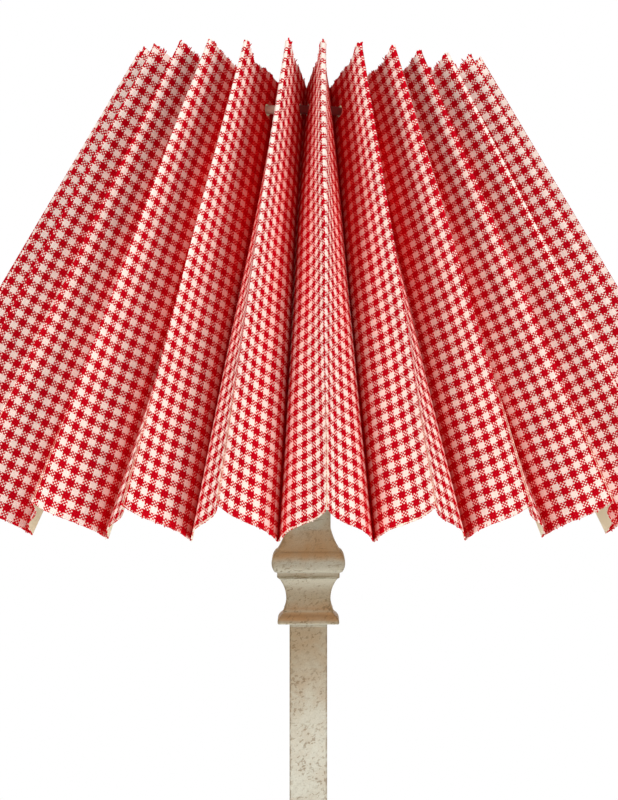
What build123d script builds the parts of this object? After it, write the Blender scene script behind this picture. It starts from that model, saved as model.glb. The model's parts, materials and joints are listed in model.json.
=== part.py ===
"""Candlestick table lamp: a square wooden stand, a lampholder, a wire carrier and a pleated cloth shade.

Millimetres, Z up. The origin is the middle of the underside. The front looks along minus Y.
"""

import os
from math import cos, degrees, pi, radians, sin, sqrt

from build123d import *

os.makedirs("parts", exist_ok=True)

# Stand: felt, plinth and moulding
felt_thickness = 2.0
plinth_side = 140.0
plinth_height = 22.0
plinth_nose = 4.0
plinth_step = 2.0
plinth_wall = 14.0
recess_depth = 14.0
moulding_side = 112.0
moulding_height = 44.0

# Stand: shaft and capital
shaft_side = 18.0
shaft_length = 250.0
shaft_edge_round = 0.9
socket_depth = 3.0
socket_play = 0.1
collar_half = 14.7
collar_height = 7.0
waist_half = 10.6
waist_height = 14.6
fillet_half = 14.9
fillet_height = 3.2
bulge_half = 17.5
bulge_height = 9.9
throat_height = 10.7
neck_height = 9.1
abacus_half = 15.0
abacus_height = 10.5

# Tube that clamps the stand together
tube_diameter = 10.0
tube_bore = 7.0
tube_play = 0.25
tube_washer_diameter = 22.0
tube_washer_thickness = 1.5
nut_across_flats = 14.0
nut_height = 4.0

# Base weight, its screws and the cord inlet
weight_thickness = 11.0
weight_play = 1.0
weight_eye = 30.0
weight_slot = 10.0
screw_shank = 4.0
screw_head = 8.0
screw_head_height = 3.0
screw_grip = 5.0
screw_inset = 16.0
screw_play = 0.1
inlet_bore = 7.0
inlet_wall = 1.5
inlet_flange = 14.0
inlet_flange_thickness = 2.0

# Lampholder
seat_plate_diameter = 28.0
seat_plate_thickness = 1.5
holder_entry_diameter = 17.0
holder_entry_height = 5.0
holder_cap_height = 16.0
holder_diameter = 28.0
holder_wall = 1.6
holder_thread_depth = 5.0
holder_skirt_height = 38.0
holder_flange_diameter = 36.0
holder_flange_thickness = 2.5
holder_flange_rise = 7.0
insert_diameter = 22.0
insert_height = 10.0
shell_wall = 0.5
shell_play = 0.35
contact_width = 6.0
contact_height = 2.0
terminal_diameter = 3.5
terminal_spacing = 12.0
terminal_height = 2.0
shade_ring_diameter = 38.0
shade_ring_height = 6.0
shade_ring_flutes = 24
shade_ring_flute_radius = 1.0
thread_play = 0.1

# Bulb
bulb_cap_diameter = 13.6
bulb_cap_length = 22.0
bulb_insulator_height = 3.0
bulb_contact_diameter = 5.0
bulb_contact_height = 1.5
bulb_neck_diameter = 13.0
bulb_diameter = 35.0
bulb_glass_length = 74.0
bulb_widest = 31.0
bulb_glass_wall = 0.8
bulb_stem_diameter = 5.0
bulb_stem_length = 20.0
lead_diameter = 0.9
lead_spread = 6.0
lead_rise = 16.0
filament_diameter = 0.5
filament_rise = 12.0

# Wire carrier
carrier_collar_bore = 29.0
carrier_collar_diameter = 50.0
carrier_collar_thickness = 1.2
carrier_wire = 3.2
rib_wire = 2.4
arm_count = 3
rib_count = 6
arm_start = 20.5
arm_reach = 30.0
arm_bend = 6.0
carrier_rise = 140.0
bottom_ring_above_hem = 30.0

# Pleated shade
pleat_count = 28
strip_count = 2
cloth_thickness = 0.5
fold_length = 239.5
panel_width = 38.0
valley_top_radius = 52.3
valley_hem_radius = 177.6
front_ridge_turn = 2.2
panel_bow_hem = 1.2
panel_bow_top = 0.15
seat_gap = 0.3
ring_below_edge = 18.0
eyelet_from_valley = 8.0
eyelet_diameter = 5.8
drawstring_diameter = 4.3
knot_diameter = 7.0
knot_length = 6.5

# Heights that follow from the stack
plinth_foot = felt_thickness
plinth_top = plinth_foot + plinth_height
recess_roof = plinth_foot + recess_depth
shaft_foot = plinth_top + moulding_height
shaft_top = shaft_foot + shaft_length
capital_fillet = collar_height + waist_height
capital_bulge = capital_fillet + fillet_height
capital_throat = capital_bulge + bulge_height
capital_neck = capital_throat + throat_height
capital_abacus = capital_neck + neck_height
capital_height = capital_abacus + abacus_height
capital_top = shaft_top + capital_height
nut_seat = capital_top + seat_plate_thickness
holder_foot = nut_seat + nut_height
skirt_foot = holder_foot + holder_cap_height
skirt_top = skirt_foot + holder_skirt_height
flange_top = skirt_foot + holder_flange_rise + holder_flange_thickness
insert_foot = skirt_foot - holder_thread_depth
insert_top = insert_foot + insert_height
bulb_foot = insert_top + contact_height
glass_foot = bulb_foot + bulb_contact_height + bulb_insulator_height + bulb_cap_length
collar_top = flange_top + carrier_collar_thickness
arm_height = collar_top + carrier_wire / 2
top_ring_height = arm_height + carrier_rise

# Cone of the folds: the slope of the valleys, the pleat depth at each end and the eyelet circle
half_pitch = pi / pleat_count
slope_sin = (valley_hem_radius - valley_top_radius) / fold_length
slope_cos = sqrt(1 - slope_sin**2)
versine = 1 - cos(half_pitch)


def pleat_depth(valley_radius):
    """Depth of a pleat square to the slope, from the width of its two panels and the valley radius."""
    half_linear = valley_radius * slope_cos * versine
    rest = panel_width**2 - 2 * valley_radius**2 * versine
    return sqrt(half_linear**2 + rest) - half_linear


valley_drop = fold_length * slope_cos
valley_top_height = top_ring_height + ring_below_edge * slope_cos
valley_hem_height = valley_top_height - valley_drop
ridge_top_radius = valley_top_radius + pleat_depth(valley_top_radius) * slope_cos
ridge_hem_radius = valley_hem_radius + pleat_depth(valley_hem_radius) * slope_cos
ridge_top_height = valley_top_height + pleat_depth(valley_top_radius) * slope_sin
ridge_hem_height = valley_hem_height + pleat_depth(valley_hem_radius) * slope_sin
loft_margin = 3.0
loft_top = ridge_top_height + loft_margin
loft_foot = valley_hem_height - loft_margin


def valley_radius_at(height):
    """Radius of the outer valley line at a height."""
    share = (valley_top_height - height) / valley_drop
    return valley_top_radius + share * (valley_hem_radius - valley_top_radius)


def ridge_radius_at(height):
    """Radius of the outer ridge line at a height."""
    share = (ridge_top_height - height) / (ridge_top_height - ridge_hem_height)
    return ridge_top_radius + share * (ridge_hem_radius - ridge_top_radius)


def inner_radii(height):
    """Radii of the inner ridge and valley edges at a height, one cloth thickness in from the outer faces."""
    ridge = ridge_radius_at(height)
    valley = valley_radius_at(height)
    chord = sqrt(ridge**2 + valley**2 - 2 * ridge * valley * cos(half_pitch))
    at_ridge = valley * sin(half_pitch) / chord
    at_valley = ridge * sin(half_pitch) / chord
    return ridge - cloth_thickness / at_ridge, valley - cloth_thickness / at_valley


def inner_valley_at(height):
    """Radius of the inner valley edge, straight between the two ends of the folds."""
    top_radius = inner_radii(loft_top)[1]
    foot_radius = inner_radii(loft_foot)[1]
    share = (loft_top - height) / (loft_top - loft_foot)
    return top_radius + share * (foot_radius - top_radius)


ring_inset = (carrier_wire / 2 + seat_gap) / slope_cos
top_ring_radius = inner_valley_at(top_ring_height) - ring_inset
bottom_ring_height = valley_hem_height + bottom_ring_above_hem * slope_cos
bottom_ring_radius = inner_valley_at(bottom_ring_height) - ring_inset
eyelet_share = eyelet_from_valley / panel_width
eyelet_depth = eyelet_share * pleat_depth(valley_top_radius)
eyelet_radius = valley_radius_at(top_ring_height) + eyelet_depth * slope_cos
eyelet_height = top_ring_height + eyelet_depth * slope_sin


def front_plane(height):
    """Upright plane through the axis, seen from the front."""
    return Plane(origin=(0, 0, height), x_dir=(1, 0, 0), z_dir=(0, -1, 0))


def side_plane(height):
    """Upright plane through the axis, seen from the side."""
    return Plane(origin=(0, 0, height), x_dir=(0, 1, 0), z_dir=(1, 0, 0))


def outline_face(plane, outline):
    """Face inside an outline that starts and ends on the axis, with its mirror image."""
    with BuildSketch(plane) as face:
        with BuildLine():
            outline()
        make_face()
        mirror(about=Plane.YZ)
    return face.sketch


def plinth_outline():
    """Right half of the plinth: an upright side, a step and a rounded nose."""
    half = plinth_side / 2
    nose_foot = plinth_height - plinth_nose
    Polyline((0, 0), (half, 0), (half, nose_foot), (half - plinth_step, nose_foot))
    nose_arc = plinth_nose * (1 - sqrt(0.5))
    ThreePointArc(
        (half - plinth_step, nose_foot),
        (half - plinth_step - nose_arc, plinth_height - nose_arc),
        (half - plinth_step - plinth_nose, plinth_height),
    )
    Polyline((half - plinth_step - plinth_nose, plinth_height), (0, plinth_height), (0, 0))


def moulding_outline():
    """Right half of the base moulding: a hollow sweep, a fillet, a bulge and a throat under the shaft."""
    half = moulding_side / 2
    foot_rise = 0.1 * moulding_height
    sweep_top = 0.56 * moulding_height
    bulge_foot = 0.65 * moulding_height
    bulge_top = 0.83 * moulding_height
    top = moulding_height
    Polyline((0, 0), (half, 0), (half, foot_rise), (half - 3, foot_rise + 0.6))
    ThreePointArc((half - 3, foot_rise + 0.6), (0.61 * half, 0.24 * top), (0.43 * half, sweep_top))
    Polyline(
        (0.43 * half, sweep_top),
        (0.45 * half, sweep_top + 0.6),
        (0.45 * half, bulge_foot - 0.6),
        (0.41 * half, bulge_foot),
    )
    ThreePointArc(
        (0.41 * half, bulge_foot),
        (0.44 * half, (bulge_foot + bulge_top) / 2),
        (0.39 * half, bulge_top),
    )
    Line((0.39 * half, bulge_top), (0.36 * half, bulge_top + 0.4))
    ThreePointArc(
        (0.36 * half, bulge_top + 0.4),
        (0.29 * half, 0.9 * top),
        (0.265 * half, top),
    )
    Polyline((0.265 * half, top), (0, top), (0, 0))


def capital_outline():
    """Right half of the capital: collar, waist, fillet, bulge, throat, neck and abacus."""
    collar_turn = waist_half + 2.1
    collar_head = waist_half + 1.1
    Polyline(
        (0, 0),
        (collar_half - 0.4, 0),
        (collar_half, 0.06 * collar_height),
        (collar_half, 0.21 * collar_height),
    )
    ThreePointArc(
        (collar_half, 0.21 * collar_height),
        (collar_half - 0.7, 0.43 * collar_height),
        (collar_turn, 0.61 * collar_height),
    )
    ThreePointArc(
        (collar_turn, 0.61 * collar_height),
        (waist_half + 1.35, 0.77 * collar_height),
        (collar_head, 0.93 * collar_height),
    )
    Line((collar_head, 0.93 * collar_height), (waist_half + 0.75, collar_height + 0.3))
    ThreePointArc(
        (waist_half + 0.75, collar_height + 0.3),
        (waist_half, collar_height + 0.42 * waist_height),
        (waist_half + 3.1, capital_fillet),
    )
    Polyline(
        (waist_half + 3.1, capital_fillet),
        (fillet_half, capital_fillet + 0.9),
        (fillet_half, capital_bulge),
        (bulge_half - 1.5, capital_bulge + 0.3),
    )
    ThreePointArc(
        (bulge_half - 1.5, capital_bulge + 0.3),
        (bulge_half, capital_bulge + 0.52 * bulge_height),
        (bulge_half - 2.0, capital_throat - 0.3),
    )
    Line((bulge_half - 2.0, capital_throat - 0.3), (bulge_half - 2.6, capital_throat))
    ThreePointArc(
        (bulge_half - 2.6, capital_throat),
        (waist_half + 1.6, capital_throat + 0.5 * throat_height),
        (waist_half, capital_neck),
    )
    Line((waist_half, capital_neck), (waist_half, capital_abacus))
    ThreePointArc(
        (waist_half, capital_abacus),
        (waist_half + 0.9, capital_abacus + 0.36 * abacus_height),
        (abacus_half - 0.8, capital_abacus + 0.54 * abacus_height),
    )
    Polyline(
        (abacus_half - 0.8, capital_abacus + 0.54 * abacus_height),
        (abacus_half, capital_abacus + 0.6 * abacus_height),
        (abacus_half, capital_height),
        (0, capital_height),
        (0, 0),
    )


# Felt under the plinth
with BuildPart() as felt_pad:
    with BuildSketch(Plane.XY):
        Rectangle(plinth_side - 2 * plinth_step, plinth_side - 2 * plinth_step)
    extrude(amount=felt_thickness)
felt_pad.part.label = "felt_pad"
export_step(felt_pad.part, "parts/felt_pad.step")

# Plinth with the recess for the weight, the tube bore, the screw holes and the cord inlet
recess_side = plinth_side - 2 * plinth_wall
weight_side = recess_side - 2 * weight_play
weight_foot = recess_roof - weight_thickness
screw_span = weight_side - 2 * screw_inset
inlet_height = plinth_foot + recess_depth / 2
inlet_outer = inlet_bore + 2 * inlet_wall
tube_hole = tube_diameter / 2 + tube_play

with BuildPart() as plinth:
    extrude(outline_face(front_plane(plinth_foot), plinth_outline), amount=plinth_side, both=True)
    extrude(
        outline_face(side_plane(plinth_foot), plinth_outline),
        amount=plinth_side,
        both=True,
        mode=Mode.INTERSECT,
    )
    with BuildSketch(Plane.XY.offset(plinth_foot)):
        Rectangle(recess_side, recess_side)
    extrude(amount=recess_depth, mode=Mode.SUBTRACT)
    with BuildSketch(Plane.XY.offset(plinth_foot)):
        Circle(tube_hole)
    extrude(amount=plinth_height, mode=Mode.SUBTRACT)
    with BuildSketch(Plane.XY.offset(recess_roof)):
        with GridLocations(screw_span, screw_span, 2, 2):
            Circle(screw_shank / 2 + screw_play)
    extrude(amount=screw_grip, mode=Mode.SUBTRACT)
    with BuildSketch(front_plane(inlet_height)):
        Circle(inlet_outer / 2)
    extrude(amount=-plinth_side, mode=Mode.SUBTRACT)
plinth.part.label = "plinth"
export_step(plinth.part, "parts/plinth.step")

# Cast weight with an eye round the tube nut and a slot for the cord
with BuildPart() as base_weight:
    with BuildSketch(Plane.XY.offset(weight_foot)):
        Rectangle(weight_side, weight_side)
        Circle(weight_eye / 2, mode=Mode.SUBTRACT)
        with Locations((0, weight_side / 2)):
            Rectangle(weight_slot, weight_side, mode=Mode.SUBTRACT)
        with GridLocations(screw_span, screw_span, 2, 2):
            Circle(screw_shank / 2 + screw_play, mode=Mode.SUBTRACT)
    extrude(amount=weight_thickness)
    with BuildSketch(Plane.XY.offset(weight_foot)):
        with GridLocations(screw_span, screw_span, 2, 2):
            Circle(screw_head / 2 + screw_play)
    extrude(amount=screw_head_height, mode=Mode.SUBTRACT)
base_weight.part.label = "base_weight"
export_step(base_weight.part, "parts/base_weight.step")

# Screws that hold the weight up in the recess
with BuildPart() as weight_screws:
    with BuildSketch(Plane.XY.offset(weight_foot)):
        with GridLocations(screw_span, screw_span, 2, 2):
            Circle(screw_head / 2)
            RegularPolygon(screw_shank / 3, 6, mode=Mode.SUBTRACT)
    extrude(amount=screw_head_height)
    with BuildSketch(Plane.XY.offset(weight_foot + screw_head_height / 2)):
        with GridLocations(screw_span, screw_span, 2, 2):
            Circle(screw_shank / 2)
    extrude(amount=weight_thickness - screw_head_height / 2 + screw_grip)
weight_screws.part.label = "weight_screws"
export_step(weight_screws.part, "parts/weight_screws.step")

# Bushing in the back of the plinth, open to the slot in the weight
with BuildPart() as cord_bushing:
    with BuildSketch(Plane.XZ.offset(-(plinth_side / 2 - plinth_wall))):
        with Locations((0, inlet_height)):
            Circle(inlet_outer / 2)
            Circle(inlet_bore / 2, mode=Mode.SUBTRACT)
    extrude(amount=-plinth_wall)
    with BuildSketch(Plane.XZ.offset(-plinth_side / 2)):
        with Locations((0, inlet_height)):
            Circle(inlet_flange / 2)
            Circle(inlet_bore / 2, mode=Mode.SUBTRACT)
    extrude(amount=-inlet_flange_thickness)
cord_bushing.part.label = "cord_bushing"
export_step(cord_bushing.part, "parts/cord_bushing.step")

# Base moulding with the socket that takes the foot of the shaft
socket_side = shaft_side + 2 * socket_play
with BuildPart() as base_moulding:
    extrude(outline_face(front_plane(plinth_top), moulding_outline), amount=moulding_side, both=True)
    extrude(
        outline_face(side_plane(plinth_top), moulding_outline),
        amount=moulding_side,
        both=True,
        mode=Mode.INTERSECT,
    )
    with BuildSketch(Plane.XY.offset(plinth_top)):
        Circle(tube_hole)
    extrude(amount=moulding_height, mode=Mode.SUBTRACT)
    with BuildSketch(Plane.XY.offset(shaft_foot - socket_depth)):
        Rectangle(socket_side, socket_side)
    extrude(amount=socket_depth, mode=Mode.SUBTRACT)
base_moulding.part.label = "base_moulding"
export_step(base_moulding.part, "parts/base_moulding.step")

# Square shaft, let into the moulding below and the capital above
with BuildPart() as shaft:
    with BuildSketch(Plane.XY.offset(shaft_foot - socket_depth)):
        RectangleRounded(shaft_side, shaft_side, shaft_edge_round)
        Circle(tube_hole, mode=Mode.SUBTRACT)
    extrude(amount=shaft_length + 2 * socket_depth)
shaft.part.label = "shaft"
export_step(shaft.part, "parts/shaft.step")

# Capital with mitred mouldings on all four sides
with BuildPart() as capital:
    extrude(outline_face(front_plane(shaft_top), capital_outline), amount=2 * bulge_half, both=True)
    extrude(
        outline_face(side_plane(shaft_top), capital_outline),
        amount=2 * bulge_half,
        both=True,
        mode=Mode.INTERSECT,
    )
    with BuildSketch(Plane.XY.offset(shaft_top)):
        Circle(tube_hole)
    extrude(amount=capital_height, mode=Mode.SUBTRACT)
    with BuildSketch(Plane.XY.offset(shaft_top)):
        Rectangle(socket_side, socket_side)
    extrude(amount=socket_depth, mode=Mode.SUBTRACT)
capital.part.label = "capital"
export_step(capital.part, "parts/capital.step")

# Threaded tube, with its washer and nut in the recess
tube_foot = recess_roof - tube_washer_thickness - nut_height - 1.0
tube_top = holder_foot + holder_entry_height + 1.0
with BuildPart() as lamp_tube:
    with BuildSketch(Plane.XY.offset(tube_foot)):
        Circle(tube_diameter / 2)
        Circle(tube_bore / 2, mode=Mode.SUBTRACT)
    extrude(amount=tube_top - tube_foot)
lamp_tube.part.label = "lamp_tube"
export_step(lamp_tube.part, "parts/lamp_tube.step")

washer_foot = recess_roof - tube_washer_thickness
with BuildPart() as tube_washer:
    with BuildSketch(Plane.XY.offset(washer_foot)):
        Circle(tube_washer_diameter / 2)
        Circle(tube_hole, mode=Mode.SUBTRACT)
    extrude(amount=tube_washer_thickness)
tube_washer.part.label = "tube_washer"
export_step(tube_washer.part, "parts/tube_washer.step")

nut_corner = nut_across_flats / sqrt(3)
with BuildPart() as tube_nut:
    with BuildSketch(Plane.XY.offset(washer_foot - nut_height)):
        RegularPolygon(nut_corner, 6)
        Circle(tube_diameter / 2, mode=Mode.SUBTRACT)
    extrude(amount=nut_height)
tube_nut.part.label = "tube_nut"
export_step(tube_nut.part, "parts/tube_nut.step")

# Brass plate and nut on top of the capital
with BuildPart() as seat_plate:
    with BuildSketch(Plane.XY.offset(capital_top)):
        Circle(seat_plate_diameter / 2)
        Circle(tube_hole, mode=Mode.SUBTRACT)
    extrude(amount=seat_plate_thickness)
    chamfer(
        seat_plate.edges().filter_by(GeomType.CIRCLE).sort_by(SortBy.RADIUS)[-2:].sort_by(Axis.Z)[-1],
        seat_plate_thickness / 3,
    )
seat_plate.part.label = "seat_plate"
export_step(seat_plate.part, "parts/seat_plate.step")

with BuildPart() as seat_nut:
    with BuildSketch(Plane.XY.offset(nut_seat)):
        RegularPolygon(nut_corner, 6)
        Circle(tube_diameter / 2, mode=Mode.SUBTRACT)
    extrude(amount=nut_height)
seat_nut.part.label = "seat_nut"
export_step(seat_nut.part, "parts/seat_nut.step")

# Lampholder cap: an entry boss on the tube and a cup that carries the insert
entry_top = holder_foot + holder_entry_height
cup_radius = holder_diameter / 2 - holder_wall
with BuildPart() as holder_cap:
    with BuildSketch(front_plane(0)):
        with BuildLine():
            Polyline(
                (tube_diameter / 2, holder_foot),
                (holder_entry_diameter / 2, holder_foot),
                (holder_entry_diameter / 2, entry_top),
                (holder_diameter / 2, entry_top + holder_wall),
                (holder_diameter / 2, skirt_foot),
                (cup_radius, skirt_foot),
                (cup_radius, entry_top + 2 * holder_wall),
                (tube_diameter / 2, entry_top + holder_wall),
                (tube_diameter / 2, holder_foot),
            )
        make_face()
    revolve(axis=Axis.Z)
holder_cap.part.label = "holder_cap"
export_step(holder_cap.part, "parts/holder_cap.step")

# Ceramic insert with a foot that stands in the cap
insert_floor = entry_top + 2 * holder_wall
with BuildPart() as holder_insert:
    with BuildSketch(Plane.XY.offset(insert_foot)):
        Circle(insert_diameter / 2)
    extrude(amount=insert_height)
    with BuildSketch(Plane.XY.offset(insert_floor)):
        Circle(insert_diameter / 2)
        Circle(insert_diameter / 2 - holder_wall, mode=Mode.SUBTRACT)
    extrude(amount=insert_foot - insert_floor)
    with BuildSketch(Plane.XY.offset(insert_foot)):
        with GridLocations(terminal_spacing, 0, 2, 1):
            Circle(terminal_diameter / 2)
    extrude(amount=insert_height / 2, mode=Mode.SUBTRACT)
holder_insert.part.label = "holder_insert"
export_step(holder_insert.part, "parts/holder_insert.step")

# Terminal screws under the insert
with BuildPart() as terminal_screws:
    with BuildSketch(Plane.XY.offset(insert_foot - terminal_height)):
        with GridLocations(terminal_spacing, 0, 2, 1):
            Circle(0.7 * terminal_diameter)
            Rectangle(2 * terminal_diameter, 0.2 * terminal_diameter, mode=Mode.SUBTRACT)
    extrude(amount=0.5 * terminal_height)
    with BuildSketch(Plane.XY.offset(insert_foot - 0.5 * terminal_height)):
        with GridLocations(terminal_spacing, 0, 2, 1):
            Circle(0.7 * terminal_diameter)
    extrude(amount=0.5 * terminal_height)
    with BuildSketch(Plane.XY.offset(insert_foot)):
        with GridLocations(terminal_spacing, 0, 2, 1):
            Circle(terminal_diameter / 2)
    extrude(amount=insert_height / 2)
terminal_screws.part.label = "terminal_screws"
export_step(terminal_screws.part, "parts/terminal_screws.step")

# Brass screw shell and centre contact on the insert
shell_inner = bulb_cap_diameter / 2 + shell_play
shell_height = bulb_contact_height + bulb_insulator_height + contact_height + 0.8 * bulb_cap_length
with BuildPart() as screw_shell:
    with BuildSketch(Plane.XY.offset(insert_top)):
        Circle(shell_inner + shell_wall)
        Circle(shell_inner, mode=Mode.SUBTRACT)
    extrude(amount=shell_height)
screw_shell.part.label = "screw_shell"
export_step(screw_shell.part, "parts/screw_shell.step")

with BuildPart() as centre_contact:
    with BuildSketch(Plane.XY.offset(insert_top)):
        Rectangle(contact_width, contact_width)
    extrude(amount=contact_height)
    fillet(centre_contact.edges().filter_by(Axis.Y).group_by(Axis.Z)[-1], contact_height / 2)
centre_contact.part.label = "centre_contact"
export_step(centre_contact.part, "parts/centre_contact.step")

# Holder skirt with the flange that carries the shade collar
skirt_bore = holder_diameter / 2 - holder_wall
with BuildPart() as holder_skirt:
    with BuildSketch(Plane.XY.offset(skirt_foot)):
        Circle(holder_diameter / 2)
        Circle(skirt_bore, mode=Mode.SUBTRACT)
    extrude(amount=holder_skirt_height)
    with BuildSketch(Plane.XY.offset(skirt_foot + holder_flange_rise)):
        Circle(holder_flange_diameter / 2)
        Circle(skirt_bore, mode=Mode.SUBTRACT)
    extrude(amount=holder_flange_thickness)
    fillet(holder_skirt.edges().filter_by(GeomType.CIRCLE).group_by(Axis.Z)[-1], holder_wall / 4)
holder_skirt.part.label = "holder_skirt"
export_step(holder_skirt.part, "parts/holder_skirt.step")

# Fluted ring that screws down on the collar
with BuildPart() as shade_ring:
    with BuildSketch(Plane.XY.offset(collar_top)):
        Circle(shade_ring_diameter / 2)
        Circle(holder_diameter / 2 + thread_play, mode=Mode.SUBTRACT)
        with PolarLocations(shade_ring_diameter / 2, shade_ring_flutes):
            Circle(shade_ring_flute_radius, mode=Mode.SUBTRACT)
    extrude(amount=shade_ring_height)
shade_ring.part.label = "shade_ring"
export_step(shade_ring.part, "parts/shade_ring.step")

# Bulb: contact, insulator and cap
insulator_foot = bulb_foot + bulb_contact_height
cap_foot = insulator_foot + bulb_insulator_height
cap_radius = bulb_cap_diameter / 2
cap_inner = bulb_neck_diameter / 2 - bulb_glass_wall
with BuildPart() as bulb_contact:
    with BuildSketch(Plane.XY.offset(bulb_foot)):
        Circle(bulb_contact_diameter / 2)
    extrude(amount=bulb_contact_height)
bulb_contact.part.label = "bulb_contact"
export_step(bulb_contact.part, "parts/bulb_contact.step")

with BuildPart() as bulb_insulator:
    with BuildSketch(Plane.XY.offset(insulator_foot)):
        Circle(0.6 * cap_radius)
    with BuildSketch(Plane.XY.offset(cap_foot)):
        Circle(cap_radius)
    loft()
bulb_insulator.part.label = "bulb_insulator"
export_step(bulb_insulator.part, "parts/bulb_insulator.step")

with BuildPart() as bulb_cap:
    with BuildSketch(Plane.XY.offset(cap_foot)):
        Circle(cap_radius)
        Circle(cap_inner, mode=Mode.SUBTRACT)
    extrude(amount=bulb_cap_length)
bulb_cap.part.label = "bulb_cap"
export_step(bulb_cap.part, "parts/bulb_cap.step")


def glass_outline(inset):
    """Right half of the candle-shaped glass, drawn in from its outside by an inset."""
    neck = bulb_neck_diameter / 2 - inset
    wide = bulb_diameter / 2 - inset
    tip = bulb_glass_length - inset
    neck_top = 0.06 * bulb_glass_length
    shoulder = (neck + 0.5 * (wide - neck), 0.2 * bulb_glass_length)
    Polyline((0, 0), (neck, 0), (neck, neck_top))
    Line((neck, neck_top), shoulder)
    TangentArc(shoulder, (wide, bulb_widest), tangent=(0.55, 1))
    ThreePointArc((wide, bulb_widest), (0.72 * wide, 0.72 * tip), (0.2 * wide, 0.94 * tip))
    Line((0.2 * wide, 0.94 * tip), (0, tip))
    Line((0, tip), (0, 0))


# Bulb: glass, stem, leads and filament
with BuildPart() as bulb_glass:
    with BuildSketch(front_plane(glass_foot)):
        with BuildLine():
            glass_outline(0)
        make_face()
    revolve(axis=Axis.Z)
    with BuildSketch(front_plane(glass_foot)):
        with BuildLine():
            glass_outline(bulb_glass_wall)
        make_face()
    revolve(axis=Axis.Z, mode=Mode.SUBTRACT)
bulb_glass.part.label = "bulb_glass"
export_step(bulb_glass.part, "parts/bulb_glass.step")

stem_foot = glass_foot - 2.0
stem_top = stem_foot + bulb_stem_length
with BuildPart() as bulb_stem:
    with BuildSketch(Plane.XY.offset(stem_foot)):
        Circle(cap_inner)
    extrude(amount=2.0)
    with BuildSketch(Plane.XY.offset(glass_foot)):
        Circle(bulb_stem_diameter / 2)
    extrude(amount=stem_top - glass_foot)
bulb_stem.part.label = "bulb_stem"
export_step(bulb_stem.part, "parts/bulb_stem.step")

lead_foot = bulb_stem_diameter / 4
lead_top = stem_top + lead_rise
with BuildPart() as bulb_leads:
    for side in (-1, 1):
        with BuildLine():
            lead_path = Line((side * lead_foot, 0, stem_top), (side * lead_spread, 0, lead_top))
        with BuildSketch(Plane(origin=lead_path @ 0, z_dir=lead_path % 0)):
            Circle(lead_diameter / 2)
        sweep(path=lead_path)
    with BuildSketch(Plane.XY.offset(stem_top)):
        Rectangle(4 * lead_spread, 4 * lead_spread)
    extrude(amount=-bulb_stem_length, mode=Mode.SUBTRACT)
bulb_leads.part.label = "bulb_leads"
export_step(bulb_leads.part, "parts/bulb_leads.step")

with BuildPart() as filament:
    with BuildLine(front_plane(lead_top)):
        filament_path = ThreePointArc((-lead_spread, 0), (0, filament_rise), (lead_spread, 0))
    with BuildSketch(Plane(origin=filament_path @ 0, z_dir=filament_path % 0)):
        Circle(filament_diameter / 2)
    sweep(path=filament_path)
    add(bulb_leads.part, mode=Mode.SUBTRACT)
filament.part.label = "filament"
export_step(filament.part, "parts/filament.step")

# Carrier collar, loose round the holder between its flange and the ring
with BuildPart() as carrier_collar:
    with BuildSketch(Plane.XY.offset(flange_top)):
        Circle(carrier_collar_diameter / 2)
        Circle(carrier_collar_bore / 2, mode=Mode.SUBTRACT)
    extrude(amount=carrier_collar_thickness)
carrier_collar.part.label = "carrier_collar"
export_step(carrier_collar.part, "parts/carrier_collar.step")

# Wire rings inside the valleys of the cloth
with BuildPart() as top_ring:
    with BuildSketch(front_plane(top_ring_height)):
        with Locations((top_ring_radius, 0)):
            Circle(carrier_wire / 2)
    revolve(axis=Axis.Z)
top_ring.part.label = "top_ring"
export_step(top_ring.part, "parts/top_ring.step")

with BuildPart() as bottom_ring:
    with BuildSketch(front_plane(bottom_ring_height)):
        with Locations((bottom_ring_radius, 0)):
            Circle(carrier_wire / 2)
    revolve(axis=Axis.Z)
bottom_ring.part.label = "bottom_ring"
export_step(bottom_ring.part, "parts/bottom_ring.step")

# Arms from the collar up to the top ring, coped to the ring
with BuildPart() as carrier_arms:
    for arm in range(arm_count):
        turn = Plane.XY.rotated((0, 0, 90 + 360 * arm / arm_count))
        with BuildLine(Plane(origin=(0, 0, 0), x_dir=turn.x_dir, z_dir=-turn.y_dir)):
            arm_path = FilletPolyline(
                (arm_start, arm_height),
                (arm_reach, arm_height),
                (top_ring_radius, top_ring_height),
                radius=arm_bend,
            )
        with BuildSketch(Plane(origin=arm_path @ 0, z_dir=arm_path % 0)):
            Circle(carrier_wire / 2)
        sweep(path=arm_path)
    add(top_ring.part, mode=Mode.SUBTRACT)
carrier_arms.part.label = "carrier_arms"
export_step(carrier_arms.part, "parts/carrier_arms.step")

# Ribs between the two rings, coped at both ends
with BuildPart() as carrier_ribs:
    for rib in range(rib_count):
        angle = radians(90 + 360 * (rib + 0.5) / rib_count)
        with BuildLine():
            rib_path = Line(
                (top_ring_radius * cos(angle), top_ring_radius * sin(angle), top_ring_height),
                (bottom_ring_radius * cos(angle), bottom_ring_radius * sin(angle), bottom_ring_height),
            )
        with BuildSketch(Plane(origin=rib_path @ 0, z_dir=rib_path % 0)):
            Circle(rib_wire / 2)
        sweep(path=rib_path)
    add(top_ring.part, mode=Mode.SUBTRACT)
    add(bottom_ring.part, mode=Mode.SUBTRACT)
carrier_ribs.part.label = "carrier_ribs"
export_step(carrier_ribs.part, "parts/carrier_ribs.step")

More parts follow.
